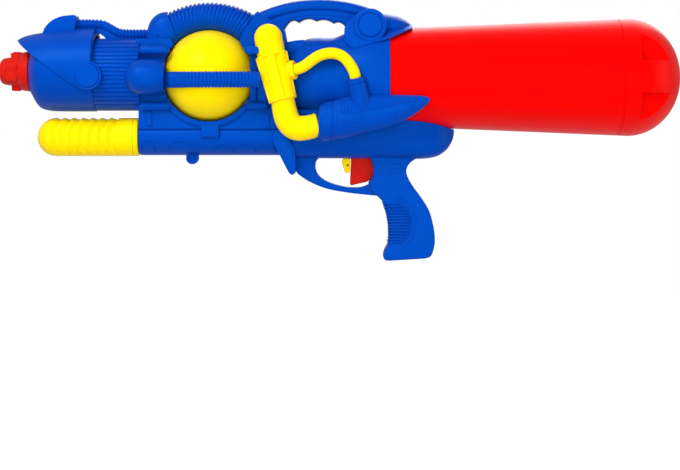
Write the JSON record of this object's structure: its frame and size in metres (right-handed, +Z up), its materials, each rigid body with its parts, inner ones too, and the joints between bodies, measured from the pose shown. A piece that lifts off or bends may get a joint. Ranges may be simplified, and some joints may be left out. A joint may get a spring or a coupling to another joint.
{
  "type": "water squirter",
  "caption": "Pump-up toy water gun with a moulded body, caged pressure ball, sliding pump grip, sprung trigger, twist nozzle and a screw-on water tank at the back.",
  "frame": {"origin": "in the pistol grip, on the centre plane, where the hand holds the toy", "axes": "+X from the muzzle to the tank, -Y to the left side, +Z up"},
  "size_m": [0.679, 0.1236, 0.26],
  "materials": {
    "blue_plastic": "semi-gloss moulded plastic",
    "yellow_plastic": "semi-gloss moulded plastic",
    "red_plastic": "semi-gloss moulded plastic",
    "black_rubber": "plain moulded rubber",
    "white_plastic": "plain moulded plastic",
    "hose_plastic": "soft hose",
    "steel": "bright wire and pins"
  },
  "bodies": {
    "body": {"left_shell": "blue_plastic", "right_shell": "blue_plastic", "front_shroud": "blue_plastic", "nozzle_seat": "white_plastic", "arch_hose": "blue_plastic", "crest_hose": "blue_plastic", "pressure_ball": "yellow_plastic", "side_pipe_left": "yellow_plastic", "side_pipe_right": "yellow_plastic", "branch_hose_left": "yellow_plastic", "branch_hose_right": "yellow_plastic", "ball_band_left": "blue_plastic", "ball_band_right": "blue_plastic", "tank_socket": "white_plastic", "pump_cylinder": "white_plastic", "pump_front_cap": "white_plastic", "rod_seal": "black_rubber", "valve_block": "white_plastic", "intake_valve_disc": "black_rubber", "ball_feed_hose": "hose_plastic", "ball_outlet_hose": "hose_plastic", "intake_hose": "hose_plastic", "discharge_hose": "hose_plastic", "trigger_valve": "white_plastic", "trigger_pin": "steel"},
    "nozzle": {"nozzle_cap": "red_plastic", "nozzle_seal": "black_rubber"},
    "pump": {"pump_grip": "yellow_plastic", "grip_end_cap": "yellow_plastic", "pump_rod": "white_plastic", "rod_pin": "steel", "piston": "white_plastic", "piston_seal": "black_rubber"},
    "trigger": {"trigger": "red_plastic", "trigger_hook": "yellow_plastic", "trigger_spring": "steel"},
    "plunger": {"valve_plunger": "white_plastic"},
    "tank_thread": {"tank_seal": "black_rubber"},
    "tank": {"tank_bottle": "red_plastic"}
  },
  "joints": [
    {"name": "nozzle_twist", "type": "hinge", "parent": "body", "child": "nozzle", "pos_m": [-0.3787, 0, 0.1505], "axis": [1, 0, 0], "range_deg": [0, 90]},
    {"name": "pump_slide", "type": "slide", "parent": "body", "child": "pump", "axis": [-1, 0, 0], "range_m": [0, 0.09]},
    {"name": "trigger_pull", "type": "hinge", "parent": "body", "child": "trigger", "pos_m": [-0.047, 0, 0.072], "axis": [0, -1, 0], "range_deg": [0, 11], "stiffness_Nm_per_rad": 0.3, "springref_deg": -17.19, "deforming": ["trigger_spring"]},
    {"name": "plunger_push", "type": "slide", "parent": "body", "child": "plunger", "axis": [-1, 0, 0], "range_m": [0, 0.002]},
    {"name": "tank_lift", "type": "slide", "parent": "body", "child": "tank_thread", "axis": [1, 0, 0], "range_m": [0, 0.012]},
    {"name": "tank_turn", "type": "hinge", "parent": "tank_thread", "child": "tank", "pos_m": [0, 0, 0.1445], "axis": [1, 0, 0], "range_deg": [0, 1080]}
  ],
  "couplings": [
    {"joint": "plunger_push", "follows": "trigger_pull", "m_per_rad": 0.006},
    {"joint": "tank_lift", "follows": "tank_turn", "m_per_rad": 0.000636}
  ]
}
